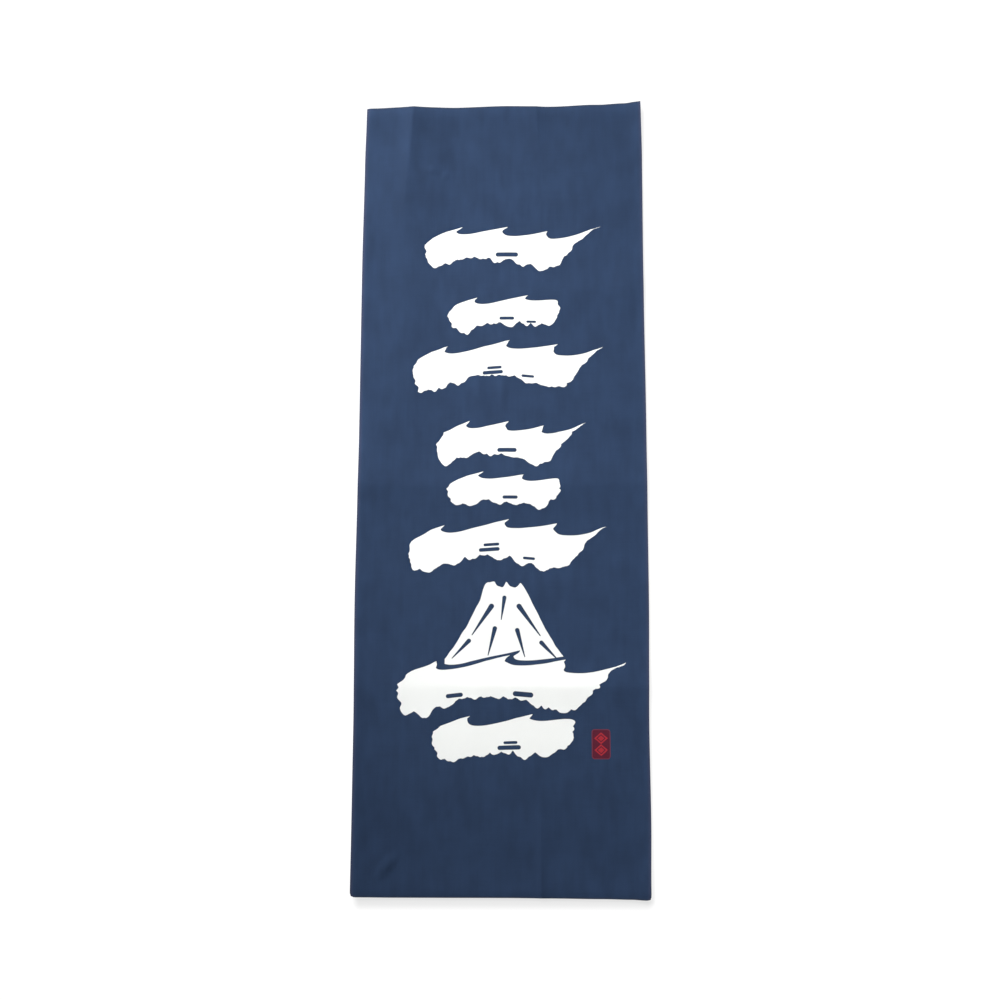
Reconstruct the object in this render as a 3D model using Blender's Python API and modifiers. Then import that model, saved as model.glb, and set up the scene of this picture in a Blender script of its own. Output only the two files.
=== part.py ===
"""A tenugui: one length of plain-woven cotton, dyed navy, opened out and laid face up.

The cloth is a single piece. Its long sides are selvedges, its two ends are plain cuts, and
nothing is sewn to it. It lies flat along +Y with its dyed face up. It was kept folded in eight
along its length and has been opened again, so a low ridge crosses it at each eighth, and short
creases, puckers and lifted corners stand where it was handled, and its edges curl a little.
Everywhere else it touches the surface. Units are metres; +X is the right of the dyed face and +Y
its top end.
"""

import math
from typing import NamedTuple

import bpy

# Driving dimensions
WIDTH = 0.342  # selvedge to selvedge
LENGTH = 0.950  # cut end to cut end
THICKNESS = 0.001
MM = 0.001
FOLDS = 8  # layers it was kept folded in
CREST_SHARE = 0.08  # how round a crest is, as a share of its reach

# Spacing of the rows and columns of the mesh
FOLD_STEPS = (-40 * MM, -22 * MM, -10 * MM, -3 * MM, 3 * MM, 10 * MM, 22 * MM, 40 * MM)  # about a crest
CREASE_STEPS = (-24 * MM, -12 * MM, -5 * MM, 0.0, 5 * MM, 12 * MM, 24 * MM)  # columns likewise
EDGE_STEPS = (0.0, 6 * MM, 14 * MM)  # rows and columns beside a free edge
ROW_GAP = 26 * MM
COLUMN_GAP = 26 * MM

# The dyed face
NAVY = (0.020, 0.038, 0.080, 1.0)
ROUGHNESS = 0.92
METALLIC = 0.0


class Side(NamedTuple):
    """How far both selvedges stand out from the centre line at one height."""

    up: float  # share of the length, from the lower end
    left: float
    right: float


class End(NamedTuple):
    """How far both cut ends stand out from the middle at one place across."""

    across: float  # share of the width, from the left
    lower: float
    upper: float


class Fold(NamedTuple):
    """A ridge right across the cloth, where it was folded."""

    eighth: int  # which fold, counted from the lower end
    left_rise: float
    right_rise: float
    reach: float  # from the crest to where it lies flat again


class Crease(NamedTuple):
    """A short ridge along the cloth, highest at one end and gone at the other."""

    across: float
    high_up: float  # share of the length where it is highest
    low_up: float  # share of the length where it has died away
    rise: float
    left_reach: float
    right_reach: float
    drift: float  # sideways, from its high end to its low end


class EdgeLift(NamedTuple):
    """How the cloth beside a free edge stands off the surface and droops again at the edge."""

    edge: str
    rise: float
    reach: float  # from the edge to where it lies flat
    droop: float
    droop_reach: float


class Swell(NamedTuple):
    """A lifted corner, a pucker or a low swell, as an oval hump."""

    across: float
    up: float
    half_long: float
    half_wide: float
    turn: float  # degrees of its long axis from +X
    rise: float


SIDES = (
    Side(0.00, 170.6 * MM, 169.2 * MM),
    Side(0.004, 171.8 * MM, 170.3 * MM),
    Side(0.09, 171.6 * MM, 171.4 * MM),
    Side(0.20, 171.4 * MM, 170.6 * MM),
    Side(0.36, 172.7 * MM, 172.2 * MM),
    Side(0.56, 171.0 * MM, 171.8 * MM),
    Side(0.78, 171.0 * MM, 170.6 * MM),
    Side(0.92, 169.8 * MM, 170.8 * MM),
    Side(1.00, 168.4 * MM, 169.6 * MM),
)
ENDS = (
    End(0.00, 473.0 * MM, 470.9 * MM),
    End(0.012, 474.2 * MM, 471.5 * MM),
    End(0.14, 474.6 * MM, 473.0 * MM),
    End(0.30, 474.6 * MM, 473.0 * MM),
    End(0.52, 474.6 * MM, 475.6 * MM),
    End(0.66, 475.0 * MM, 474.8 * MM),
    End(0.84, 475.6 * MM, 477.6 * MM),
    End(0.94, 476.2 * MM, 479.6 * MM),
    End(0.988, 477.0 * MM, 481.2 * MM),
    End(1.00, 476.2 * MM, 481.6 * MM),
)
CROSS_FOLDS = (
    Fold(1, 0.15 * MM, 0.10 * MM, 28 * MM),
    Fold(2, 1.0 * MM, 2.3 * MM, 50 * MM),
    Fold(3, 0.12 * MM, 0.15 * MM, 28 * MM),
    Fold(4, 3.0 * MM, 2.3 * MM, 62 * MM),
    Fold(5, 0.15 * MM, 0.12 * MM, 28 * MM),
    Fold(6, 0.1 * MM, 1.2 * MM, 50 * MM),
    Fold(7, 0.2 * MM, 0.35 * MM, 30 * MM),
)
LONG_CREASES = (
    Crease(0.170, 1.00, 0.80, 2.4 * MM, 18 * MM, 24 * MM, -12 * MM),
    Crease(0.618, 1.00, 0.90, 1.1 * MM, 34 * MM, 12 * MM, 5 * MM),
    Crease(0.636, 0.00, 0.16, 0.9 * MM, 9 * MM, 12 * MM, -2 * MM),
)
EDGE_LIFTS = (
    EdgeLift("lower", 2.4 * MM, 56 * MM, 0.6 * MM, 9 * MM),
    EdgeLift("upper", 1.9 * MM, 44 * MM, 1.9 * MM, 15 * MM),
    EdgeLift("left", 0.9 * MM, 60 * MM, 0.9 * MM, 8 * MM),
    EdgeLift("right", 0.8 * MM, 12 * MM, 0.1 * MM, 4 * MM),
)
SWELLS = (
    Swell(1.00, 0.97, 70 * MM, 26 * MM, 90, 2.4 * MM),
    Swell(0.00, 0.05, 70 * MM, 30 * MM, 90, 1.2 * MM),
    Swell(1.00, 0.03, 80 * MM, 34 * MM, 90, 1.2 * MM),
    Swell(0.175, 0.93, 150 * MM, 60 * MM, 89, 3.4 * MM),
    Swell(0.150, 0.70, 230 * MM, 50 * MM, 88, 1.7 * MM),
    Swell(0.05, 0.525, 60 * MM, 44 * MM, 10, 1.2 * MM),
    Swell(0.45, 0.17, 300 * MM, 150 * MM, 0, 1.8 * MM),
    Swell(0.12, 0.037, 24 * MM, 10 * MM, 50, 1.4 * MM),
    Swell(0.09, 0.050, 36 * MM, 20 * MM, 55, 0.7 * MM),
    Swell(0.24, 0.913, 15 * MM, 7 * MM, -15, 1.0 * MM),
    Swell(0.29, 0.906, 9 * MM, 6 * MM, 60, 0.6 * MM),
    Swell(0.00, 0.22, 230 * MM, 14 * MM, 90, 0.9 * MM),
    Swell(0.05, 0.56, 46 * MM, 26 * MM, 90, 0.9 * MM),
    Swell(0.06, 0.30, 40 * MM, 26 * MM, 80, 0.8 * MM),
    Swell(0.95, 0.76, 46 * MM, 24 * MM, 95, 0.8 * MM),
    Swell(0.42, 0.63, 40 * MM, 9 * MM, 90, 0.5 * MM),
    Swell(0.50, 0.63, 40 * MM, 9 * MM, 90, 0.5 * MM),
)


def smooth(share):
    """Ease from 0 to 1, level at both ends."""
    share = min(max(share, 0.0), 1.0)
    return share * share * (3.0 - 2.0 * share)


def read_table(rows, key, column):
    """Read one column of a table of rows, eased between the two rows about key."""
    for lower, upper in zip(rows, rows[1:]):
        if key <= upper[0]:
            share = smooth((key - lower[0]) / (upper[0] - lower[0]))
            start, end = getattr(lower, column), getattr(upper, column)
            return start + (end - start) * share
    return getattr(rows[-1], column)


def tent(distance, reach):
    """Height share of an opened fold: a narrow round crest, easing to flat."""
    crest = CREST_SHARE * reach
    share = max(0.0, 1.0 - (math.hypot(distance, crest) - crest) / reach)
    return share * share


def fold_rise(fold, across, up):
    """Height of one cross fold."""
    distance = (up - fold.eighth / FOLDS) * LENGTH
    rise = fold.left_rise + (fold.right_rise - fold.left_rise) * across
    return rise * tent(distance, fold.reach)


def crease_rise(crease, across, up):
    """Height of one long crease, which drifts sideways as it dies away."""
    faded = (up - crease.high_up) / (crease.low_up - crease.high_up)
    distance = (across - crease.across) * WIDTH - crease.drift * max(faded, 0.0)
    reach = crease.left_reach if distance < 0 else crease.right_reach
    return crease.rise * (1.0 - smooth(faded)) * tent(distance, reach)


def edge_rise(lift, across, up):
    """Height beside one free edge."""
    inward = {
        "lower": up * LENGTH,
        "upper": (1.0 - up) * LENGTH,
        "left": across * WIDTH,
        "right": (1.0 - across) * WIDTH,
    }[lift.edge]
    return lift.rise * tent(inward, lift.reach) - lift.droop * tent(inward, lift.droop_reach)


def swell_rise(swell, across, up):
    """Height of one oval hump."""
    turn = math.radians(swell.turn)
    off_x = (across - swell.across) * WIDTH
    off_y = (up - swell.up) * LENGTH
    along = (off_x * math.cos(turn) + off_y * math.sin(turn)) / swell.half_long
    beside = (off_y * math.cos(turn) - off_x * math.sin(turn)) / swell.half_wide
    return swell.rise * smooth(1.0 - math.hypot(along, beside))


def lie_of_cloth(across, up):
    """Place of the underside at a share of the width and of the length."""
    left = -read_table(SIDES, up, "left")
    right = read_table(SIDES, up, "right")
    lower = -read_table(ENDS, across, "lower")
    upper = read_table(ENDS, across, "upper")
    rise = sum(fold_rise(fold, across, up) for fold in CROSS_FOLDS)
    rise += sum(crease_rise(crease, across, up) for crease in LONG_CREASES)
    rise += sum(edge_rise(lift, across, up) for lift in EDGE_LIFTS)
    rise += sum(swell_rise(swell, across, up) for swell in SWELLS)
    return left + (right - left) * across, lower + (upper - lower) * up, max(rise, 0.0)


def stations(total, crests, steps, gap):
    """Shares of a length at which the mesh has a row: close at crests and ends, else a gap apart."""
    fixed = {0.0, total}
    fixed.update(step for step in EDGE_STEPS)
    fixed.update(total - step for step in EDGE_STEPS)
    fixed.update(crest + step for crest in crests for step in steps)
    ordered = sorted(fixed)
    places = [ordered[0]]
    for place in ordered[1:]:
        parts = math.ceil((place - places[-1]) / gap)
        start = places[-1]
        places.extend(start + (place - start) * part / parts for part in range(1, parts + 1))
    return [place / total for place in places]


def fabric_material(name, color):
    """Matt dyed cotton."""
    material = bpy.data.materials.new(name)
    material.use_nodes = True
    shader = material.node_tree.nodes["Principled BSDF"]
    shader.inputs["Base Color"].default_value = color
    shader.inputs["Roughness"].default_value = ROUGHNESS
    shader.inputs["Metallic"].default_value = METALLIC
    return material


def centre_on_origin(mesh):
    """Move a mesh so that the middle of its box stands over the origin."""
    xs = [vertex.co.x for vertex in mesh.vertices]
    ys = [vertex.co.y for vertex in mesh.vertices]
    off_x = (min(xs) + max(xs)) / 2
    off_y = (min(ys) + max(ys)) / 2
    for vertex in mesh.vertices:
        vertex.co.x -= off_x
        vertex.co.y -= off_y


def make_cloth(collection):
    """The whole towel: a grid laid over its folds, given its thickness upward."""
    fold_crests = [LENGTH * eighth / FOLDS for eighth in range(1, FOLDS)]
    crease_crests = sorted({crease.across * WIDTH for crease in LONG_CREASES})
    rows = stations(LENGTH, fold_crests, FOLD_STEPS, ROW_GAP)
    columns = stations(WIDTH, crease_crests, CREASE_STEPS, COLUMN_GAP)
    bpy.ops.mesh.primitive_grid_add(
        x_subdivisions=len(columns) - 1, y_subdivisions=len(rows) - 1, size=1.0
    )
    cloth = bpy.context.object
    cloth.name = "cloth"
    cloth.data.name = "cloth"
    for vertex in cloth.data.vertices:
        column = round((vertex.co.x + 0.5) * (len(columns) - 1))
        row = round((vertex.co.y + 0.5) * (len(rows) - 1))
        vertex.co = lie_of_cloth(columns[column], rows[row])
    centre_on_origin(cloth.data)

    solid = cloth.modifiers.new("Thickness", "SOLIDIFY")
    solid.thickness = THICKNESS
    solid.offset = 1.0
    cloth.data.shade_smooth()
    cloth.data.materials.append(fabric_material("navy_cotton", NAVY))
    for other in cloth.users_collection:
        other.objects.unlink(cloth)
    collection.objects.link(cloth)
    return cloth


def main():
    """Clear the scene and lay the towel in its own collection."""
    for old in list(bpy.data.objects):
        bpy.data.objects.remove(old, do_unlink=True)
    collection = bpy.data.collections.new("tenugui_towel")
    bpy.context.scene.collection.children.link(collection)
    make_cloth(collection)


main()
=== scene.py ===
"""A tenugui towel laid out face up: its looks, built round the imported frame.

One thin sheet of plain-woven cotton lies on the folds of the CAD cloth. Everything dyed on it,
the navy ground, the white brushed waves, the mountain and the red stamp, is worked out in its
material from the flat cloth's own coordinates, in metres from the cloth's middle.
"""

import logging
import math
from collections.abc import Sequence
from dataclasses import dataclass, field
from enum import Enum

import bpy
from mathutils import Matrix, Vector, noise

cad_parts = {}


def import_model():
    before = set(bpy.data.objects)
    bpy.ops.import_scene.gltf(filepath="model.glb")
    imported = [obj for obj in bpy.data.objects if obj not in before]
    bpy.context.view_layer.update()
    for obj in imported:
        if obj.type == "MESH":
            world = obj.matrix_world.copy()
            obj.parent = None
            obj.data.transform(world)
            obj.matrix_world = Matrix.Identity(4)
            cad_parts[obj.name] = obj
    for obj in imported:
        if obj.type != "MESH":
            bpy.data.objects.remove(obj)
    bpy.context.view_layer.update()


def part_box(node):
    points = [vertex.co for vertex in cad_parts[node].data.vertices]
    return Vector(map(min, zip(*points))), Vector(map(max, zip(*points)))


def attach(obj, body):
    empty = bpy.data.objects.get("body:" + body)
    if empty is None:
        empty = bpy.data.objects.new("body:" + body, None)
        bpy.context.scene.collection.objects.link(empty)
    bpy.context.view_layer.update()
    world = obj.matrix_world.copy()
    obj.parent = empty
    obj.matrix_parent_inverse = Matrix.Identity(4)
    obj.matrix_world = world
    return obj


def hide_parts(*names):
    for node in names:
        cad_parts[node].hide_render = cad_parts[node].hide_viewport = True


LOG = logging.getLogger("tenugui")
MM = 0.001
CLOTH_NODE = "cloth"
FLAT_MAP = "flat"
CREST_SHARE = 0.08  # how round a crest is, as a share of its reach
THREAD = 0.55 * MM  # from one thread to the next
NOISE_GAIN = 4.0  # spreads a noise node's values, mostly near one half, to about -1 to 1
MIX_FIRST = 6  # places of a Mix node's two colour inputs and its colour output
MIX_SECOND = 7
MIX_RESULT = 2

Colour = tuple[float, float, float, float]


class Edge(Enum):
    """A free edge of the cloth."""

    LOWER = "lower"
    UPPER = "upper"
    LEFT = "left"
    RIGHT = "right"


# --------------------------------------------------------------------------- lie of the cloth


@dataclass(frozen=True)
class Side:
    """How far both selvedges stand out from the centre line at one height."""

    at: float  # share of the length, from the lower end
    left: float
    right: float


@dataclass(frozen=True)
class End:
    """How far both cut ends stand out from the middle at one place across."""

    at: float  # share of the width, from the left
    lower: float
    upper: float


@dataclass(frozen=True)
class Fold:
    """A ridge right across the cloth, where it was folded."""

    eighth: int  # which eighth of the length it lies on, from the lower end
    left_rise: float
    right_rise: float
    reach: float  # how far it slopes to each side


@dataclass(frozen=True)
class Crease:
    """A short ridge along the cloth, highest at one end and gone at the other."""

    across: float  # share of the width, from the left
    high_up: float  # share of the length at which it is highest
    low_up: float  # share of the length at which it is gone
    rise: float
    left_reach: float
    right_reach: float
    drift: float  # how far to the right it has moved where it is gone


@dataclass(frozen=True)
class EdgeLift:
    """How the cloth beside a free edge stands off the surface and droops again at the edge."""

    edge: Edge
    rise: float
    reach: float  # how far inward the rise dies away
    droop: float
    droop_reach: float


@dataclass(frozen=True)
class Swell:
    """A lifted corner, a pucker or a low swell, as an oval hump."""

    across: float  # its middle, as shares of the width and the length
    up: float
    half_long: float
    half_wide: float
    turn: float  # degrees from the width to its long axis
    rise: float


SIDES = (
    Side(0.00, 170.6 * MM, 169.2 * MM),
    Side(0.004, 171.8 * MM, 170.3 * MM),
    Side(0.09, 171.6 * MM, 171.4 * MM),
    Side(0.20, 171.4 * MM, 170.6 * MM),
    Side(0.36, 172.7 * MM, 172.2 * MM),
    Side(0.56, 171.0 * MM, 171.8 * MM),
    Side(0.78, 171.0 * MM, 170.6 * MM),
    Side(0.92, 169.8 * MM, 170.8 * MM),
    Side(1.00, 168.4 * MM, 169.6 * MM),
)
ENDS = (
    End(0.00, 473.0 * MM, 470.9 * MM),
    End(0.012, 474.2 * MM, 471.5 * MM),
    End(0.14, 474.6 * MM, 473.0 * MM),
    End(0.30, 474.6 * MM, 473.0 * MM),
    End(0.52, 474.6 * MM, 475.6 * MM),
    End(0.66, 475.0 * MM, 474.8 * MM),
    End(0.84, 475.6 * MM, 477.6 * MM),
    End(0.94, 476.2 * MM, 479.6 * MM),
    End(0.988, 477.0 * MM, 481.2 * MM),
    End(1.00, 476.2 * MM, 481.6 * MM),
)
CROSS_FOLDS = (
    Fold(1, 0.15 * MM, 0.10 * MM, 28 * MM),
    Fold(2, 1.0 * MM, 2.3 * MM, 50 * MM),
    Fold(3, 0.12 * MM, 0.15 * MM, 28 * MM),
    Fold(4, 3.0 * MM, 2.3 * MM, 62 * MM),
    Fold(5, 0.15 * MM, 0.12 * MM, 28 * MM),
    Fold(6, 0.1 * MM, 1.2 * MM, 50 * MM),
    Fold(7, 0.2 * MM, 0.35 * MM, 30 * MM),
)
LONG_CREASES = (
    Crease(0.170, 1.00, 0.80, 2.4 * MM, 18 * MM, 24 * MM, -12 * MM),
    Crease(0.618, 1.00, 0.90, 1.1 * MM, 34 * MM, 12 * MM, 5 * MM),
    Crease(0.636, 0.00, 0.16, 0.9 * MM, 9 * MM, 12 * MM, -2 * MM),
)
EDGE_LIFTS = (
    EdgeLift(Edge.LOWER, 2.4 * MM, 56 * MM, 0.6 * MM, 9 * MM),
    EdgeLift(Edge.UPPER, 1.9 * MM, 44 * MM, 1.9 * MM, 15 * MM),
    EdgeLift(Edge.LEFT, 0.9 * MM, 60 * MM, 0.9 * MM, 8 * MM),
    EdgeLift(Edge.RIGHT, 0.8 * MM, 12 * MM, 0.1 * MM, 4 * MM),
)
SWELLS = (
    Swell(1.00, 0.97, 70 * MM, 26 * MM, 90, 2.4 * MM),
    Swell(0.00, 0.05, 70 * MM, 30 * MM, 90, 1.2 * MM),
    Swell(1.00, 0.03, 80 * MM, 34 * MM, 90, 1.2 * MM),
    Swell(0.175, 0.93, 150 * MM, 60 * MM, 89, 3.4 * MM),
    Swell(0.150, 0.70, 230 * MM, 50 * MM, 88, 1.7 * MM),
    Swell(0.05, 0.525, 60 * MM, 44 * MM, 10, 1.2 * MM),
    Swell(0.45, 0.17, 300 * MM, 150 * MM, 0, 1.8 * MM),
    Swell(0.12, 0.037, 24 * MM, 10 * MM, 50, 1.4 * MM),
    Swell(0.09, 0.050, 36 * MM, 20 * MM, 55, 0.7 * MM),
    Swell(0.24, 0.913, 15 * MM, 7 * MM, -15, 1.0 * MM),
    Swell(0.29, 0.906, 9 * MM, 6 * MM, 60, 0.6 * MM),
    Swell(0.00, 0.22, 230 * MM, 14 * MM, 90, 0.9 * MM),
    Swell(0.05, 0.56, 46 * MM, 26 * MM, 90, 0.9 * MM),
    Swell(0.06, 0.30, 40 * MM, 26 * MM, 80, 0.8 * MM),
    Swell(0.95, 0.76, 46 * MM, 24 * MM, 95, 0.8 * MM),
    Swell(0.42, 0.63, 40 * MM, 9 * MM, 90, 0.5 * MM),
    Swell(0.50, 0.63, 40 * MM, 9 * MM, 90, 0.5 * MM),
)


def smooth(share: float) -> float:
    """Ease from 0 to 1, level at both ends."""
    share = min(max(share, 0.0), 1.0)
    return share * share * (3.0 - 2.0 * share)


def tent(distance: float, reach: float) -> float:
    """Shape an opened fold: a narrow round crest, easing to flat.

    Args:
        distance: How far to the side of the crest.
        reach: How far out the fold has eased to flat.

    Returns:
        Share of the crest's height.
    """
    crest = CREST_SHARE * reach
    share = max(0.0, 1.0 - (math.hypot(distance, crest) - crest) / reach)
    return share * share


def read_table(rows: Sequence[Side | End], key: float, column: str) -> float:
    """Read one column of a table, eased between the two rows about a key.

    Args:
        rows: Table rows in the order of their `at` values.
        key: Share of the length or the width.
        column: Name of the value to read.

    Returns:
        The value at the key.
    """
    for lower, upper in zip(rows, rows[1:]):
        if key <= upper.at:
            share = smooth((key - lower.at) / (upper.at - lower.at))
            start, end = getattr(lower, column), getattr(upper, column)
            return start + (end - start) * share
    return getattr(rows[-1], column)


@dataclass
class ClothLie:
    """Where each point of the flat cloth lies: its outline, folds, curls and small waves."""

    width: float = 342 * MM
    length: float = 950 * MM
    folds: int = 8  # parts that it was folded into
    wave_rise: float = 0.35 * MM  # small unevenness of cloth that has been folded away
    wave_width: float = 32 * MM
    wave_length: float = 110 * MM
    wave_lift: float = 0.1  # share that the waves are raised by before their troughs are cut off

    def fold_rise(self, fold: Fold, across: float, up: float) -> float:
        """Measure one cross fold.

        Args:
            fold: The fold.
            across: Share of the width.
            up: Share of the length.

        Returns:
            The height that it adds.
        """
        distance = (up - fold.eighth / self.folds) * self.length
        rise = fold.left_rise + (fold.right_rise - fold.left_rise) * across
        return rise * tent(distance, fold.reach)

    def crease_rise(self, crease: Crease, across: float, up: float) -> float:
        """Measure one long crease, which drifts sideways as it dies away.

        Args:
            crease: The crease.
            across: Share of the width.
            up: Share of the length.

        Returns:
            The height that it adds.
        """
        faded = (up - crease.high_up) / (crease.low_up - crease.high_up)
        distance = (across - crease.across) * self.width - crease.drift * max(faded, 0.0)
        reach = crease.left_reach if distance < 0 else crease.right_reach
        return crease.rise * (1.0 - smooth(faded)) * tent(distance, reach)

    def edge_rise(self, lift: EdgeLift, across: float, up: float) -> float:
        """Measure how one free edge curls.

        Args:
            lift: The edge and its curl.
            across: Share of the width.
            up: Share of the length.

        Returns:
            The height that it adds.
        """
        inward = {
            Edge.LOWER: up * self.length,
            Edge.UPPER: (1.0 - up) * self.length,
            Edge.LEFT: across * self.width,
            Edge.RIGHT: (1.0 - across) * self.width,
        }[lift.edge]
        droop = lift.droop * tent(inward, lift.droop_reach)
        return lift.rise * tent(inward, lift.reach) - droop

    def swell_rise(self, swell: Swell, across: float, up: float) -> float:
        """Measure one oval hump.

        Args:
            swell: The hump.
            across: Share of the width.
            up: Share of the length.

        Returns:
            The height that it adds.
        """
        turn = math.radians(swell.turn)
        off_x = (across - swell.across) * self.width
        off_y = (up - swell.up) * self.length
        along = (off_x * math.cos(turn) + off_y * math.sin(turn)) / swell.half_long
        beside = (off_y * math.cos(turn) - off_x * math.sin(turn)) / swell.half_wide
        return swell.rise * smooth(1.0 - math.hypot(along, beside))

    def wave(self, across: float, up: float) -> float:
        """Height of the small unevenness, never below the surface."""
        spot = (across * self.width / self.wave_width, up * self.length / self.wave_length, 0.0)
        return self.wave_rise * max(0.0, noise.noise(Vector(spot)) + self.wave_lift)

    def place(self, across: float, up: float) -> tuple[float, float, float]:
        """Find where a point of the cloth's underside lies.

        Args:
            across: Share of the width, from the left selvedge.
            up: Share of the length, from the lower end.

        Returns:
            Its x, y and z, before the outline is centred.
        """
        left = -read_table(SIDES, up, "left")
        right = read_table(SIDES, up, "right")
        lower = -read_table(ENDS, across, "lower")
        upper = read_table(ENDS, across, "upper")
        rise = sum(self.fold_rise(fold, across, up) for fold in CROSS_FOLDS)
        rise += sum(self.crease_rise(crease, across, up) for crease in LONG_CREASES)
        rise += sum(self.edge_rise(lift, across, up) for lift in EDGE_LIFTS)
        rise += sum(self.swell_rise(swell, across, up) for swell in SWELLS)
        rise = max(rise, 0.0) + self.wave(across, up)
        return left + (right - left) * across, lower + (upper - lower) * up, rise


# ------------------------------------------------------------------------ fields over the cloth


class Field:
    """A number that varies over the cloth: one output of a shader node, with arithmetic."""

    def __init__(self, tree: bpy.types.NodeTree, socket: bpy.types.NodeSocket) -> None:
        """Wrap a node's output."""
        self.tree = tree
        self.socket = socket

    def math(self, operation: str, *others: "Field | float", clamp: bool = False) -> "Field":
        """Add a Math node that takes this field first.

        Args:
            operation: The node's operation.
            others: The other inputs, as fields or numbers.
            clamp: Whether to keep the result from 0 to 1.

        Returns:
            The node's result.
        """
        node = self.tree.nodes.new("ShaderNodeMath")
        node.operation = operation
        node.use_clamp = clamp
        self.tree.links.new(self.socket, node.inputs[0])
        for socket, other in zip(node.inputs[1:], others):
            plug(self.tree, socket, other)
        return Field(self.tree, node.outputs[0])

    def __add__(self, other: "Field | float") -> "Field":
        """Sum."""
        return self.math("ADD", other)

    def __sub__(self, other: "Field | float") -> "Field":
        """Difference."""
        return self.math("SUBTRACT", other)

    def __rsub__(self, other: float) -> "Field":
        """A number less this field."""
        return self.math("MULTIPLY_ADD", -1.0, other)

    def __mul__(self, other: "Field | float") -> "Field":
        """Product."""
        return self.math("MULTIPLY", other)

    def __truediv__(self, other: "Field | float") -> "Field":
        """Quotient."""
        return self.math("DIVIDE", other)

    def __neg__(self) -> "Field":
        """Opposite sign."""
        return self.math("MULTIPLY", -1.0)

    def __abs__(self) -> "Field":
        """Size without sign."""
        return self.math("ABSOLUTE")

    def ramp(self, start: float, end: float) -> "Field":
        """Ease from 0 to 1 and stay there.

        Args:
            start: Value of this field at which the ease starts.
            end: Value at which it ends, which may be the lower one.

        Returns:
            The eased field.
        """
        node = self.tree.nodes.new("ShaderNodeMapRange")
        node.interpolation_type = "SMOOTHSTEP"
        self.tree.links.new(self.socket, node.inputs["Value"])
        node.inputs["From Min"].default_value = start
        node.inputs["From Max"].default_value = end
        return Field(self.tree, node.outputs["Result"])

    def curve(self, knots: "Sequence[Knot]") -> "Field":
        """Read a drawn line at this field.

        Args:
            knots: The line's points, in order. It bends at the sharp ones only.

        Returns:
            The line's reach, from -1 to 1.
        """
        node = self.tree.nodes.new("ShaderNodeFloatCurve")
        line = node.mapping.curves[0]
        for knot in knots[1:-1]:
            line.points.new(knot.at, knot.height)
        line.points[0].location = (knots[0].at, knots[0].height)
        line.points[-1].location = (knots[-1].at, knots[-1].height)
        for point, knot in zip(line.points, knots):
            point.handle_type = "VECTOR" if knot.sharp else "AUTO_CLAMPED"
        node.mapping.update()
        self.tree.links.new(self.socket, node.inputs["Value"])
        return Field(self.tree, node.outputs["Value"]) * 2.0 - 1.0


def plug(
    tree: bpy.types.NodeTree, socket: bpy.types.NodeSocket, value: Field | float | Colour
) -> None:
    """Feed an input of a node.

    Args:
        tree: The node's tree.
        socket: The input.
        value: A field to link to it, or a number or a colour to set it to.
    """
    if isinstance(value, Field):
        tree.links.new(value.socket, socket)
    else:
        socket.default_value = value


def read_noise(tree: bpy.types.NodeTree, node: bpy.types.Node, detail: float) -> Field:
    """Read a noise node.

    Args:
        tree: The node's tree.
        node: The noise node, its place already linked.
        detail: Octaves of finer noise.

    Returns:
        Its value, from about -1 to 1.
    """
    node.inputs["Scale"].default_value = 1.0
    node.inputs["Detail"].default_value = detail
    return Field(tree, node.outputs["Fac"]) * NOISE_GAIN - NOISE_GAIN / 2


def wobble(along: Field, size: float, seed: float, detail: float = 0.0) -> Field:
    """Make a random line from about -1 to 1 that changes along one field.

    Args:
        along: Distance in metres.
        size: Length of one wobble in metres.
        seed: Which random line.
        detail: Octaves of finer wobble.

    Returns:
        The line's value.
    """
    node = along.tree.nodes.new("ShaderNodeTexNoise")
    node.noise_dimensions = "1D"
    along.tree.links.new((along / size + seed).socket, node.inputs["W"])
    return read_noise(along.tree, node, detail)


# ------------------------------------------------------------------------------- dyed motifs


@dataclass(frozen=True)
class Knot:
    """A point of a drawn line: share of its length, and reach from -1 to 1."""

    at: float
    reach: float
    sharp: bool = False

    @property
    def height(self) -> float:
        """The reach moved to the 0 to 1 that a curve node holds."""
        return self.reach / 2 + 0.5


@dataclass(frozen=True)
class WaveForm:
    """A band of sea: how far it reaches above and below its middle, along its length.

    Both are shares of the band's half height. A lower reach under zero lies above the middle.
    """

    upper: tuple[Knot, ...]
    lower: tuple[Knot, ...]


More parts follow.
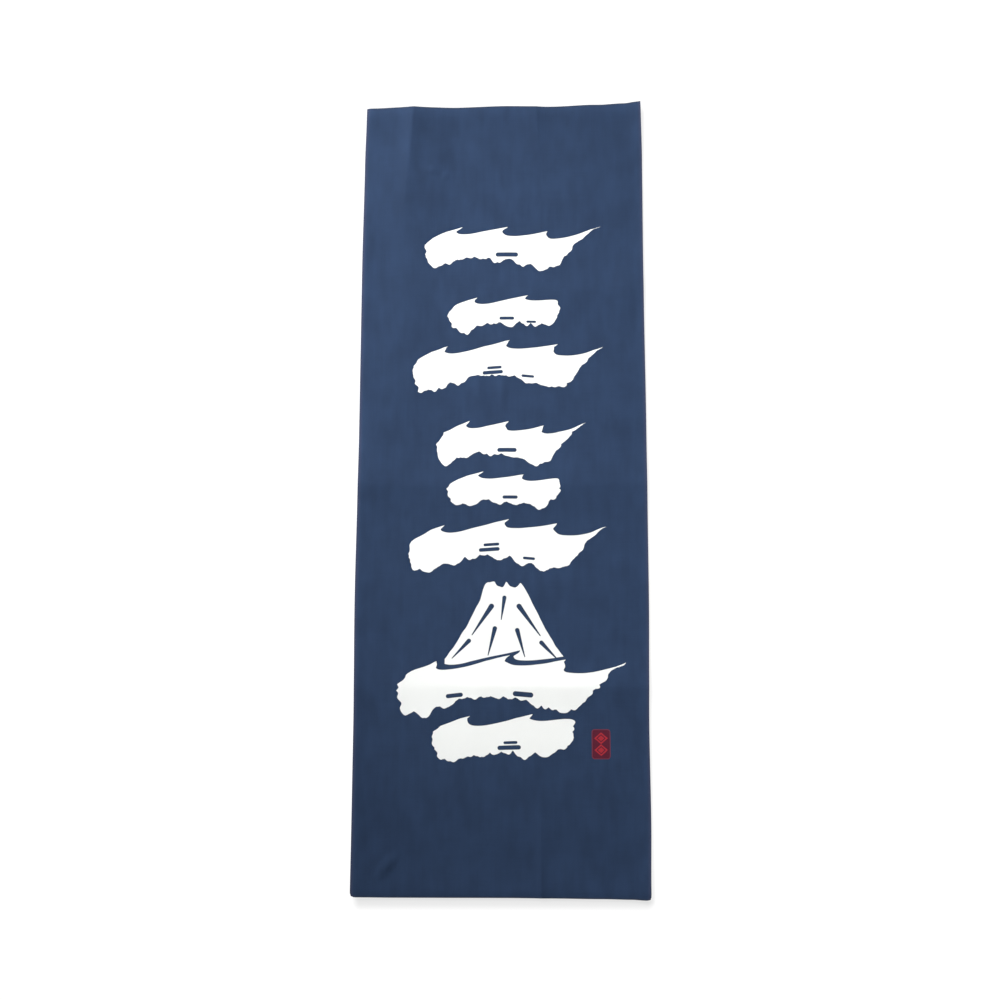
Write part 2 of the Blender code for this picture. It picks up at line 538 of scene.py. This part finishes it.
LONG_BAND = WaveForm(
    upper=(Knot(0.0, 0.0), Knot(0.012, 0.34), Knot(0.05, 0.72), Knot(0.10, 1.0, True),
           Knot(0.135, 0.70), Knot(0.20, 0.60), Knot(0.30, 0.74), Knot(0.40, 1.0, True),
           Knot(0.435, 0.74), Knot(0.50, 0.62), Knot(0.60, 0.73), Knot(0.70, 0.98, True),
           Knot(0.735, 0.72), Knot(0.80, 0.56), Knot(0.90, 0.62), Knot(1.0, 0.96, True)),
    lower=(Knot(0.0, 0.0), Knot(0.012, 0.46), Knot(0.05, 0.90), Knot(0.12, 0.96),
           Knot(0.22, 0.74), Knot(0.40, 0.60), Knot(0.56, 0.62), Knot(0.70, 0.86),
           Knot(0.80, 0.90), Knot(0.88, 0.52), Knot(0.94, 0.0), Knot(1.0, -0.96)),
)
SHORT_BAND = WaveForm(
    upper=(Knot(0.0, 0.0), Knot(0.015, 0.34), Knot(0.07, 0.70), Knot(0.15, 1.0, True),
           Knot(0.20, 0.72), Knot(0.30, 0.62), Knot(0.44, 0.76), Knot(0.57, 1.0, True),
           Knot(0.62, 0.74), Knot(0.72, 0.64), Knot(0.88, 0.72), Knot(0.97, 0.44),
           Knot(1.0, 0.0)),
    lower=(Knot(0.0, 0.0), Knot(0.02, 0.44), Knot(0.09, 0.92), Knot(0.20, 0.86),
           Knot(0.40, 0.64), Knot(0.60, 0.66), Knot(0.78, 0.84), Knot(0.90, 0.66),
           Knot(0.97, 0.34), Knot(1.0, 0.0)),
)


@dataclass(frozen=True)
class Wave:
    """One white band of sea, brushed from left to right."""

    form: WaveForm
    x: float
    y: float
    length: float
    half: float  # half of its height
    swing: float  # how far its middle line rises and falls
    phase: float  # share of a turn at which that line starts
    lean: float  # how far its crests curl forward, as a share of half its height
    seed: float


WAVES = (
    Wave(LONG_BAND, 0 * MM, 293 * MM, 193 * MM, 25 * MM, 3 * MM, 0.05, 0.85, 1.7),
    Wave(SHORT_BAND, 0 * MM, 211 * MM, 134 * MM, 21 * MM, 2 * MM, 0.50, 0.85, 5.2),
    Wave(LONG_BAND, -1 * MM, 145 * MM, 214 * MM, 28 * MM, 4 * MM, 0.80, 0.85, 9.4),
    Wave(LONG_BAND, 0 * MM, 51 * MM, 160 * MM, 25 * MM, 3 * MM, 0.05, 0.80, 33.1),
    Wave(SHORT_BAND, 0 * MM, -7 * MM, 134 * MM, 21 * MM, 2 * MM, 0.10, 0.85, 17.8),
    Wave(LONG_BAND, -2 * MM, -73 * MM, 216 * MM, 28 * MM, 4 * MM, 0.80, 0.85, 21.6),
    Wave(LONG_BAND, 0 * MM, -236 * MM, 244 * MM, 31 * MM, 4 * MM, 0.80, 0.85, 25.9),
    Wave(SHORT_BAND, 0 * MM, -296 * MM, 164 * MM, 27 * MM, 3 * MM, 0.45, 0.85, 29.5),
)


@dataclass(frozen=True)
class Ragged:
    """The unevenness of a brushed edge."""

    size: float  # length of one bump along the edge
    depth: float
    seed: float  # added to the band's own
    detail: float = 0.0  # octaves of finer bumps


BLUNT_START = Ragged(15 * MM, 3.5 * MM, 0.0, 1.0)
LOBES = Ragged(26 * MM, 5.0 * MM, 50.0)
NICKS = Ragged(9 * MM, 1.4 * MM, 90.0)
LOWER_INSET = 3.2 * MM  # keeps the lobes and nicks about the lower edge as drawn


@dataclass(frozen=True)
class Mark:
    """A rounded bar from its near end, narrower at its far end by its taper."""

    x: float
    y: float
    length: float
    half: float  # half of its width
    turn: float = 0.0  # degrees
    taper: float = 0.0  # share of its width lost at the far end


SLITS = (
    Mark(-6 * MM, 284 * MM, 22 * MM, 2.7 * MM),
    Mark(-2 * MM, 204 * MM, 14 * MM, 1.9 * MM),
    Mark(30 * MM, 200 * MM, 9 * MM, 1.4 * MM),
    Mark(-22 * MM, 136.6 * MM, 20 * MM, 2.2 * MM, 3),
    Mark(-17 * MM, 142.6 * MM, 14 * MM, 1.7 * MM, 3),
    Mark(24 * MM, 133 * MM, 12 * MM, 1.6 * MM, -4),
    Mark(-4 * MM, 42 * MM, 18 * MM, 2.5 * MM),
    Mark(2 * MM, -15 * MM, 14 * MM, 1.9 * MM),
    Mark(-25 * MM, -77.6 * MM, 20 * MM, 2.2 * MM, 3),
    Mark(-20 * MM, -71.6 * MM, 15 * MM, 1.7 * MM, 3),
    Mark(26 * MM, -87 * MM, 11 * MM, 1.6 * MM, -4),
    Mark(-62 * MM, -248 * MM, 15 * MM, 2.4 * MM, 6),
    Mark(16 * MM, -245.5 * MM, 18 * MM, 2.9 * MM, -4),
    Mark(-2 * MM, -307.4 * MM, 22 * MM, 2.5 * MM, 2),
    Mark(4 * MM, -301.6 * MM, 13 * MM, 1.6 * MM, 2),
)
GULLIES = (
    Mark(3 * MM, -134 * MM, 26 * MM, 2.4 * MM, -98, 0.8),
    Mark(-12 * MM, -144 * MM, 40 * MM, 3.0 * MM, -124, 0.8),
    Mark(20 * MM, -144 * MM, 42 * MM, 3.0 * MM, -54, 0.8),
    Mark(-8 * MM, -170 * MM, 32 * MM, 2.6 * MM, -104, 0.8),
    Mark(18 * MM, -172 * MM, 32 * MM, 2.6 * MM, -74, 0.8),
    Mark(-38 * MM, -184 * MM, 28 * MM, 2.5 * MM, -134, 0.8),
    Mark(46 * MM, -186 * MM, 28 * MM, 2.5 * MM, -46, 0.8),
)


@dataclass(frozen=True)
class Mountain:
    """The snow-covered mountain behind the lowest waves."""

    x: float = 4 * MM
    foot: float = -244 * MM
    width: float = 236 * MM
    height: float = 131 * MM
    front: int = 6  # which of WAVES stands in front of it
    clear: float = 6 * MM  # navy left between it and the wave in front
    seen_half_width: float = 70 * MM
    rock: Ragged = Ragged(11 * MM, 1.0 * MM, 70.0, 1.0)
    skyline: tuple[Knot, ...] = (
        Knot(0.0, -1.0), Knot(0.10, -0.78), Knot(0.20, -0.42), Knot(0.30, 0.12),
        Knot(0.375, 0.64), Knot(0.415, 0.95), Knot(0.445, 0.97, True), Knot(0.475, 0.86),
        Knot(0.505, 0.97, True), Knot(0.54, 0.87), Knot(0.575, 0.95, True), Knot(0.63, 0.62),
        Knot(0.70, 0.12), Knot(0.80, -0.42), Knot(0.90, -0.78), Knot(1.0, -1.0),
    )


@dataclass(frozen=True)
class Stamp:
    """The small red stamp: a rounded frame round two stacked lozenges."""

    x: float = 115 * MM
    y: float = -302.5 * MM
    half_width: float = 10.8 * MM
    half_height: float = 17.0 * MM
    corner: float = 3.5 * MM
    line: float = 1.0 * MM
    bleed: float = 1.0 * MM  # how far inward the wash reaches its full strength
    lozenge: float = 13.4 * MM  # height of one lozenge, and the step from one to the next
    slope: float = 0.86  # how far a lozenge's sides fall for each step outward
    ring: float = 2.0 * MM
    core: float = 3.4 * MM  # how far inside a lozenge its solid middle starts


@dataclass(frozen=True)
class Cloud:
    """Soft patches of faded dye."""

    wide: float
    tall: float
    weight: float
    seed: float
    detail: float  # octaves of finer patches


@dataclass(frozen=True)
class CottonFinish:
    """Colours and surface of the dyed cloth."""

    navy_deep: Colour = (0.0155, 0.0310, 0.0689, 1.0)
    navy_faded: Colour = (0.0191, 0.0382, 0.0845, 1.0)
    outline: Colour = (0.010, 0.019, 0.037, 1.0)
    worn_side: Colour = (0.042, 0.046, 0.086, 1.0)
    # a greyer rim along both cut ends, darker in blue
    end_rim: Colour = (0.027, 0.035, 0.055, 1.0)
    undyed: Colour = (0.748, 0.760, 0.745, 1.0)
    stamp_wash: Colour = (0.082, 0.0100, 0.024, 1.0)
    stamp_line: Colour = (0.130, 0.026, 0.045, 1.0)
    stamp_mark: Colour = (0.310, 0.020, 0.030, 1.0)
    roughness: float = 0.88
    specular: float = 0.15
    thread: float = THREAD
    selvedge_thread: float = 0.38 * MM
    selvedge: float = 6 * MM
    bump_strength: float = 0.25
    bump_height: float = 0.2 * MM
    # painted shade of the weave: darker between the threads, lighter on their tops
    gap_shade: float = 0.90  # brightness between threads, and what their tops add to it
    thread_shade: float = 0.16
    worn_side_width: float = 5.0 * MM
    end_rim_width: float = 3.0 * MM
    rim_share: float = 0.6
    dye_edge: float = 0.35 * MM  # how softly white turns to navy
    outline_width: float = 1.1 * MM
    outline_share: float = 0.8
    even_fade: float = 0.5  # how faded the dye is where its clouds are level
    clouds: tuple[Cloud, ...] = (  # streaks along the warp, patches, warp threads, weft threads
        Cloud(10 * MM, 40 * MM, 0.34, 3.0, 1.0),
        Cloud(28 * MM, 38 * MM, 0.55, 8.0, 3.0),
        Cloud(THREAD, 60 * MM, 0.15, 14.0, 0.0),
        Cloud(40 * MM, THREAD, 0.15, 19.0, 0.0),
    )


@dataclass
class DyedCotton:
    """The towel's material, built field by field over the flat cloth."""

    lie: ClothLie
    finish: CottonFinish = field(default_factory=CottonFinish)
    mountain: Mountain = field(default_factory=Mountain)
    stamp: Stamp = field(default_factory=Stamp)
    tree: bpy.types.NodeTree = field(init=False)
    x: Field = field(init=False)
    y: Field = field(init=False)

    def build(self) -> bpy.types.Material:
        """Build the whole material.

        Returns:
            The material, ready to assign.
        """
        material = bpy.data.materials.new("dyed_cotton")
        material.use_nodes = True
        self.tree = material.node_tree
        shader = self.tree.nodes["Principled BSDF"]
        shader.inputs["Roughness"].default_value = self.finish.roughness
        shader.inputs["Specular IOR Level"].default_value = self.finish.specular
        self.x, self.y = self.flat_place()
        threads = self.threads()
        colour = self.ground(self.white_depth(), threads)
        self.tree.links.new(colour, shader.inputs["Base Color"])
        self.tree.links.new(self.weave_bump(threads), shader.inputs["Normal"])
        return material

    def flat_place(self) -> tuple[Field, Field]:
        """Read the place on the flat cloth.

        Returns:
            Metres across and up from the cloth's middle.
        """
        uv = self.tree.nodes.new("ShaderNodeUVMap")
        uv.uv_map = FLAT_MAP
        split = self.tree.nodes.new("ShaderNodeSeparateXYZ")
        self.tree.links.new(uv.outputs["UV"], split.inputs[0])
        across = Field(self.tree, split.outputs["X"])
        up = Field(self.tree, split.outputs["Y"])
        return (across - 0.5) * self.lie.width, (up - 0.5) * self.lie.length

    def ragged(self, along: Field, edge: Ragged, seed: float) -> Field:
        """How far an uneven edge stands in, along a field."""
        return abs(wobble(along, edge.size, seed + edge.seed, edge.detail)) * edge.depth

    def wave_depth(self, wave: Wave) -> Field:
        """Draw one band of sea.

        Args:
            wave: The band.

        Returns:
            Depth inside it in metres, negative outside it.
        """
        off_x = self.x - wave.x
        off_y = self.y - wave.y
        above = off_y.math("MAXIMUM", 0.0)
        curl = above * above * (wave.lean / wave.half)
        blunt = self.ragged(off_y, BLUNT_START, wave.seed)
        share = (off_x - curl - blunt) / wave.length + 0.5
        swing = ((share + wave.phase) * math.tau).math("SINE")
        beside = off_y - swing * wave.swing
        upper = share.curve(wave.form.upper) * wave.half
        lobes = self.ragged(off_x, LOBES, wave.seed)
        nicks = self.ragged(off_x, NICKS, wave.seed)
        lower = share.curve(wave.form.lower) * wave.half + lobes + nicks
        return (upper - beside).math("MINIMUM", beside + lower - LOWER_INSET)

    def mark_depth(self, mark: Mark) -> Field:
        """Draw one rounded bar.

        Args:
            mark: The bar.

        Returns:
            Depth inside it.
        """
        cos, sin = math.cos(math.radians(mark.turn)), math.sin(math.radians(mark.turn))
        off_x = self.x - mark.x
        off_y = self.y - mark.y
        along = off_x * cos + off_y * sin
        beside = off_y * cos - off_x * sin
        share = (along / mark.length).math("ADD", 0.0, clamp=True)
        past = along - share * mark.length
        away = (past * past + beside * beside).math("SQRT")
        return (1.0 - share * mark.taper) * mark.half - away

    def mountain_depth(self, front: Field) -> Field:
        """Draw the mountain, which stands clear behind the wave in front.

        Args:
            front: Depth inside that wave.

        Returns:
            Depth inside the mountain.
        """
        hill = self.mountain
        share = (self.x - hill.x) / hill.width + 0.5
        rock = hill.rock
        rough = wobble(self.x, rock.size, rock.seed, rock.detail) * rock.depth
        crown = (share.curve(hill.skyline) + 1.0) * (hill.height / 2) + hill.foot
        above = crown - self.y + rough
        clear = -front - hill.clear
        flank = hill.seen_half_width - abs(self.x - hill.x)
        depth = above.math("MINIMUM", clear).math("MINIMUM", self.y - hill.foot)
        depth = depth.math("MINIMUM", flank)
        for gully in GULLIES:
            depth = depth.math("MINIMUM", -self.mark_depth(gully))
        return depth

    def white_depth(self) -> Field:
        """Draw all that is left white.

        Returns:
            Depth inside it.
        """
        depths = [self.wave_depth(wave) for wave in WAVES]
        depths.append(self.mountain_depth(depths[self.mountain.front]))
        depth = depths[0]
        for other in depths[1:]:
            depth = depth.math("MAXIMUM", other)
        for slit in SLITS:
            depth = depth.math("MINIMUM", -self.mark_depth(slit))
        return depth

    def stamp_depths(self) -> tuple[Field, Field, Field]:
        """Measure how deep a place lies in the red stamp's parts.

        Returns:
            Depth inside its outline, its frame line and its lozenges.
        """
        stamp = self.stamp
        off_x = self.x - stamp.x
        off_y = self.y - stamp.y
        past_x = (abs(off_x) - (stamp.half_width - stamp.corner)).math("MAXIMUM", 0.0)
        past_y = (abs(off_y) - (stamp.half_height - stamp.corner)).math("MAXIMUM", 0.0)
        inside = stamp.corner - (past_x * past_x + past_y * past_y).math("SQRT")
        line = stamp.line / 2 - abs(inside - stamp.line / 2)
        beside = abs(abs(off_y) - stamp.lozenge / 2)
        lozenge = stamp.lozenge / 2 - abs(off_x) * stamp.slope - beside
        ring = stamp.ring / 2 - abs(lozenge - stamp.ring / 2)
        return inside, line, ring.math("MAXIMUM", lozenge - stamp.core)

    def mix(
        self,
        share: "Field | float",
        first: "bpy.types.NodeSocket | Colour",
        second: "bpy.types.NodeSocket | Field | Colour",
        blend: str = "MIX",
    ) -> bpy.types.NodeSocket:
        """Mix two colours.

        Args:
            share: Share of the second.
            first: A colour or a node's output.
            second: A colour, a node's output or a field.
            blend: The node's way of blending.

        Returns:
            The mixed colour.
        """
        node = self.tree.nodes.new("ShaderNodeMix")
        node.data_type = "RGBA"
        node.blend_type = blend
        plug(self.tree, node.inputs["Factor"], share)
        for place, value in ((MIX_FIRST, first), (MIX_SECOND, second)):
            if isinstance(value, bpy.types.NodeSocket):
                self.tree.links.new(value, node.inputs[place])
            else:
                plug(self.tree, node.inputs[place], value)
        return node.outputs[MIX_RESULT]

    def cloud(self, patches: Cloud) -> Field:
        """Make soft patches.

        Args:
            patches: Their size, weight and seed.

        Returns:
            A field about 0, as strong as their weight.
        """
        node = self.tree.nodes.new("ShaderNodeTexNoise")
        spot = self.tree.nodes.new("ShaderNodeCombineXYZ")
        plug(self.tree, spot.inputs["X"], self.x / patches.wide)
        plug(self.tree, spot.inputs["Y"], self.y / patches.tall)
        plug(self.tree, spot.inputs["Z"], patches.seed)
        self.tree.links.new(spot.outputs[0], node.inputs["Vector"])
        return read_noise(self.tree, node, patches.detail) * patches.weight

    def to_sides(self) -> Field:
        """Distance from the nearer selvedge."""
        return self.lie.width / 2 - abs(self.x)

    def to_ends(self) -> Field:
        """Distance from the nearer cut end."""
        return self.lie.length / 2 - abs(self.y)

    def dye_share(self) -> Field:
        """Mix the uneven dye.

        Returns:
            How faded it is, from 0 to 1.
        """
        first, *others = self.finish.clouds
        faded = self.cloud(first)
        for patches in others:
            faded = faded + self.cloud(patches)
        return faded.math("ADD", self.finish.even_fade, clamp=True)

    def ground(self, white: Field, threads: Field) -> bpy.types.NodeSocket:
        """Colour the whole cloth.

        Args:
            white: Depth inside all that is left white.
            threads: Height of the weave.

        Returns:
            The colour.
        """
        finish = self.finish
        edge = finish.dye_edge / 2
        navy = self.mix(self.dye_share(), finish.navy_deep, finish.navy_faded)
        rim = white.ramp(-finish.outline_width, 0.0) * finish.outline_share
        navy = self.mix(rim, navy, finish.outline)
        inside, line, rings = self.stamp_depths()
        navy = self.mix(inside.ramp(-edge, self.stamp.bleed), navy, finish.stamp_wash)
        navy = self.mix(line.ramp(-edge, edge), navy, finish.stamp_line)
        navy = self.mix(rings.ramp(-edge, edge), navy, finish.stamp_mark)
        dyed = self.mix(white.ramp(-edge, edge), navy, finish.undyed)
        # a greyer rim along both cut ends, darker in blue, then the worn selvedges
        edge_rim = self.to_ends().ramp(finish.end_rim_width, 0.0) * finish.rim_share
        dyed = self.mix(edge_rim, dyed, finish.end_rim)
        edge_rim = self.to_sides().ramp(finish.worn_side_width, 0.0) * finish.rim_share
        dyed = self.mix(edge_rim, dyed, finish.worn_side)
        # painted shade between the threads: darker in the gaps, lighter on their tops
        shade = threads * finish.thread_shade + finish.gap_shade
        return self.mix(1.0, dyed, shade, blend="MULTIPLY")

    def threads(self) -> Field:
        """Weave the cloth, its threads passing over and under each other.

        Returns:
            Height of the weave, from 0 to 1.
        """
        finish = self.finish
        packed = self.to_sides().math("LESS_THAN", finish.selvedge)
        across = self.x / finish.thread
        across = across + (self.x / finish.selvedge_thread - across) * packed
        up = self.y / finish.thread
        warp = abs((across * math.pi).math("SINE"))
        weft = abs((up * math.pi).math("SINE"))
        over = abs((across.math("FLOOR") + up.math("FLOOR")).math("MODULO", 2.0))
        return warp * over + weft * (1.0 - over)

    def weave_bump(self, threads: Field) -> bpy.types.NodeSocket:
        """Raise the weave.

        Args:
            threads: Height of the weave.

        Returns:
            The bumped normal.
        """
        bump = self.tree.nodes.new("ShaderNodeBump")
        bump.inputs["Strength"].default_value = self.finish.bump_strength
        bump.inputs["Distance"].default_value = self.finish.bump_height
        self.tree.links.new(threads.socket, bump.inputs["Height"])
        return bump.outputs["Normal"]


# ------------------------------------------------------------------------------ the cloth piece


@dataclass
class Towel:
    """The cloth itself: one thin woven sheet on the CAD cloth's folds."""

    lie: ClothLie = field(default_factory=ClothLie)
    thickness: float = 0.5 * MM
    row_gap: float = 3.6 * MM  # widest spacing of the mesh's rows, and of its columns
    column_gap: float = 2.9 * MM
    crest_steps: tuple[float, ...] = (  # rows or columns about a sharp ridge
        -9 * MM, -6 * MM, -3.5 * MM, -1.5 * MM, 0.0, 1.5 * MM, 3.5 * MM, 6 * MM, 9 * MM,
    )
    edge_steps: tuple[float, ...] = (0.0, 1.2 * MM, 3 * MM, 6 * MM)  # and inside a free edge
    smooth_angle: float = 50.0  # degrees, past which an edge stays sharp

    def stations(self, total: float, crests: Sequence[float], gap: float) -> list[float]:
        """List where the mesh has a row or a column.

        Args:
            total: The length to divide.
            crests: Places of sharp ridges.
            gap: The widest spacing.

        Returns:
            Shares of the length, from 0 to 1.
        """
        fixed = set(self.edge_steps)
        fixed.update(total - step for step in self.edge_steps)
        fixed.update(crest + step for crest in crests for step in self.crest_steps)
        ordered = sorted(fixed)
        places = [ordered[0]]
        for place in ordered[1:]:
            start = places[-1]
            step = place - start
            parts = math.ceil(step / gap)
            places.extend(start + step * part / parts for part in range(1, parts + 1))
        return [place / total for place in places]

    def build(self) -> bpy.types.Object:
        """Model the sheet and give it its material.

        Returns:
            The finished piece.
        """
        lie = self.lie
        crests = [lie.length * eighth / lie.folds for eighth in range(1, lie.folds)]
        creases = sorted({crease.across * lie.width for crease in LONG_CREASES})
        rows = self.stations(lie.length, crests, self.row_gap)
        columns = self.stations(lie.width, creases, self.column_gap)
        deselect()
        bpy.ops.mesh.primitive_grid_add(
            x_subdivisions=len(columns) - 1, y_subdivisions=len(rows) - 1, size=1.0
        )
        piece = bpy.context.object
        piece.name = "towel"
        piece.data.name = "towel"
        self.lay_out(piece.data, columns, rows)
        self.match_frame(piece.data)
        self.thicken(piece)
        piece.data.materials.append(DyedCotton(lie).build())
        return piece

    def lay_out(self, mesh: bpy.types.Mesh, columns: list[float], rows: list[float]) -> None:
        """Move each grid vertex to its place and map the flat cloth on it.

        Args:
            mesh: The grid.
            columns: Where its columns lie, as shares of the width.
            rows: Where its rows lie, as shares of the length.
        """
        shares = []
        for vertex in mesh.vertices:
            column = round((vertex.co.x + 0.5) * (len(columns) - 1))
            row = round((vertex.co.y + 0.5) * (len(rows) - 1))
            shares.append((columns[column], rows[row]))
            vertex.co = self.lie.place(*shares[-1])
        flat = mesh.uv_layers.active
        flat.name = FLAT_MAP
        for loop in mesh.loops:
            flat.data[loop.index].uv = shares[loop.vertex_index]

    def match_frame(self, mesh: bpy.types.Mesh) -> None:
        """Centre the outline on the CAD cloth's box.

        Args:
            mesh: The laid-out sheet.
        """
        low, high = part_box(CLOTH_NODE)
        xs = [vertex.co.x for vertex in mesh.vertices]
        ys = [vertex.co.y for vertex in mesh.vertices]
        off_x = (low[0] + high[0] - min(xs) - max(xs)) / 2
        off_y = (low[1] + high[1] - min(ys) - max(ys)) / 2
        for vertex in mesh.vertices:
            vertex.co.x += off_x
            vertex.co.y += off_y

    def thicken(self, piece: bpy.types.Object) -> None:
        """Give the sheet its thickness, upward, and smooth it.

        Args:
            piece: The laid-out sheet.
        """
        solid = piece.modifiers.new("Weave thickness", "SOLIDIFY")
        solid.thickness = self.thickness
        solid.offset = 1.0
        bpy.ops.object.modifier_apply(modifier=solid.name)
        bpy.ops.object.shade_smooth_by_angle(angle=math.radians(self.smooth_angle))


# ------------------------------------------------------------------------------------- studio


@dataclass(frozen=True)
class TableFinish:
    """The plain table top, dull and glowing white, its glow dimmed below the towel to a painted
    shadow.
    """

    colour: Colour = (0.08, 0.08, 0.08, 1.0)
    roughness: float = 0.9
    specular: float = 0.1
    glow_colour: Colour = (1.0, 1.0, 1.0, 1.0)
    glow: float = 1.0
    # glow left in the painted shadow past the towel's lower end
    painted_shadow_glow: float = 0.745


@dataclass
class Studio:
    """Plain pale table top with a painted shadow below the towel, soft light from the top left,
    and the camera above.
    """

    table: TableFinish = field(default_factory=TableFinish)
    floor_size: float = 30.0
    floor_drop: float = 0.2 * MM  # how far it lies under the cloth
    # the box where the table's glow is dimmed to paint the towel's soft shadow
    painted_shadow_shift: tuple[float, float] = (3 * MM, -9.5 * MM)  # across and up from the towel
    painted_shadow_inset: tuple[float, float] = (9 * MM, 3.5 * MM)  # how far inside the towel's edges
    painted_shadow_start: float = 1 * MM
    painted_shadow_end: float = 15 * MM
    sky_tint: Colour = (0.98, 0.99, 1.0, 1.0)
    sky_overhead: float = 0.07
    sky_horizon: float = 0.9
    horizon_height: float = 0.25  # sine of the height at which the sky turns dim
    key_place: tuple[float, float, float] = (-1.4, 1.5, 1.4)
    key_aim: tuple[float, float, float] = (0.2, 0.05, 0.0)
    key_power: float = 17.6  # watts
    key_size: float = 1.2
    key_spread: float = 50.0  # degrees, the whole width of its beam
    aim: tuple[float, float, float] = (-2.5 * MM, -20.0 * MM, 0.0)  # where the camera points
    distance: float = 1.646
    tilt: float = 8.66  # degrees from straight above, towards the lower end
    roll: float = 0.16  # degrees
    lens: float = 50.0  # focal length, in Blender's millimetres

    def build(self) -> None:
        """Make everything that isn't the towel."""
        self.make_floor()
        self.make_light()
        self.make_sky()
        self.make_camera()

    def make_floor(self) -> None:
        """A table top just under the cloth, which glows to a plain white, dimmed to a painted
        shadow past the towel's lower end.
        """
        deselect()
        bpy.ops.mesh.primitive_plane_add(size=self.floor_size, location=(0, 0, -self.floor_drop))
        floor = bpy.context.object
        floor.name = "floor"
        material = bpy.data.materials.new("pale_floor")
        material.use_nodes = True
        shader = material.node_tree.nodes["Principled BSDF"]
        shader.inputs["Base Color"].default_value = self.table.colour
        shader.inputs["Roughness"].default_value = self.table.roughness
        shader.inputs["Specular IOR Level"].default_value = self.table.specular
        shader.inputs["Emission Color"].default_value = self.table.glow_colour
        glow = self.floor_glow_and_painted_shadow(material.node_tree)
        material.node_tree.links.new(glow.socket, shader.inputs["Emission Strength"])
        floor.data.materials.append(material)

    def floor_glow_and_painted_shadow(self, tree: bpy.types.NodeTree) -> Field:
        """Dim the glow to paint a soft shadow past the towel's lower end.

        Args:
            tree: The table's material.

        Returns:
            How much the table glows, less in the painted shadow.
        """
        lie = ClothLie()
        place = tree.nodes.new("ShaderNodeTexCoord")
        split = tree.nodes.new("ShaderNodeSeparateXYZ")
        tree.links.new(place.outputs["Object"], split.inputs[0])
        half_x = lie.width / 2 - self.painted_shadow_inset[0]
        half_y = lie.length / 2 - self.painted_shadow_inset[1]
        off_x = abs(Field(tree, split.outputs["X"]) - self.painted_shadow_shift[0])
        off_y = abs(Field(tree, split.outputs["Y"]) - self.painted_shadow_shift[1])
        past_x = (off_x - half_x).math("MAXIMUM", 0.0)
        past_y = (off_y - half_y).math("MAXIMUM", 0.0)
        away = (past_x * past_x + past_y * past_y).math("SQRT")
        share = away.ramp(self.painted_shadow_start, self.painted_shadow_end)
        return share * (self.table.glow - self.table.painted_shadow_glow) + self.table.painted_shadow_glow

    def make_light(self) -> None:
        """One broad soft lamp beyond the upper left corner, its beam kept to the towel."""
        deselect()
        bpy.ops.object.light_add(type="AREA", location=self.key_place)
        key = bpy.context.object
        key.name = "key_light"
        key.data.energy = self.key_power
        key.data.shape = "DISK"
        key.data.size = self.key_size
        key.data.spread = math.radians(self.key_spread)
        towards = Vector(self.key_aim) - Vector(self.key_place)
        key.rotation_euler = towards.to_track_quat("-Z", "Y").to_euler()

    def make_sky(self) -> None:
        """A plain sky, bright low down and dim overhead."""
        world = bpy.data.worlds.new("pale_studio")
        world.use_nodes = True
        tree = world.node_tree
        direction = tree.nodes.new("ShaderNodeTexCoord")
        split = tree.nodes.new("ShaderNodeSeparateXYZ")
        tree.links.new(direction.outputs["Generated"], split.inputs[0])
        dim = Field(tree, split.outputs["Z"]).ramp(0.0, self.horizon_height)
        strength = dim * (self.sky_overhead - self.sky_horizon) + self.sky_horizon
        tree.links.new(strength.socket, tree.nodes["Background"].inputs["Strength"])
        tree.nodes["Background"].inputs["Color"].default_value = self.sky_tint
        bpy.context.scene.world = world

    def make_camera(self) -> None:
        """The camera above the cloth, leaning a little towards its lower end."""
        deselect()
        tilt = math.radians(self.tilt)
        back = Vector((0.0, -math.sin(tilt), math.cos(tilt))) * self.distance
        turn = Matrix.Rotation(tilt, 3, "X") @ Matrix.Rotation(math.radians(self.roll), 3, "Z")
        bpy.ops.object.camera_add(location=Vector(self.aim) + back, rotation=turn.to_euler())
        camera = bpy.context.object
        camera.name = "camera"
        camera.data.lens = self.lens
        bpy.context.scene.camera = camera
        bpy.context.scene.view_settings.view_transform = "Standard"


def deselect() -> None:
    """Leave object mode and select nothing."""
    if bpy.context.object and bpy.context.object.mode != "OBJECT":
        bpy.ops.object.mode_set(mode="OBJECT")
    bpy.ops.object.select_all(action="DESELECT")


def main() -> None:
    """Build the studio and the towel, and tie the towel to the frame."""
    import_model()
    Studio().build()
    towel = Towel()
    piece = towel.build()
    LOG.info("%s: %d faces", piece.name, len(piece.data.polygons))
    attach(piece, "root")
    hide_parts(CLOTH_NODE)


if __name__ == "__main__":
    logging.basicConfig(level=logging.INFO, format="%(name)s: %(message)s")
    main()
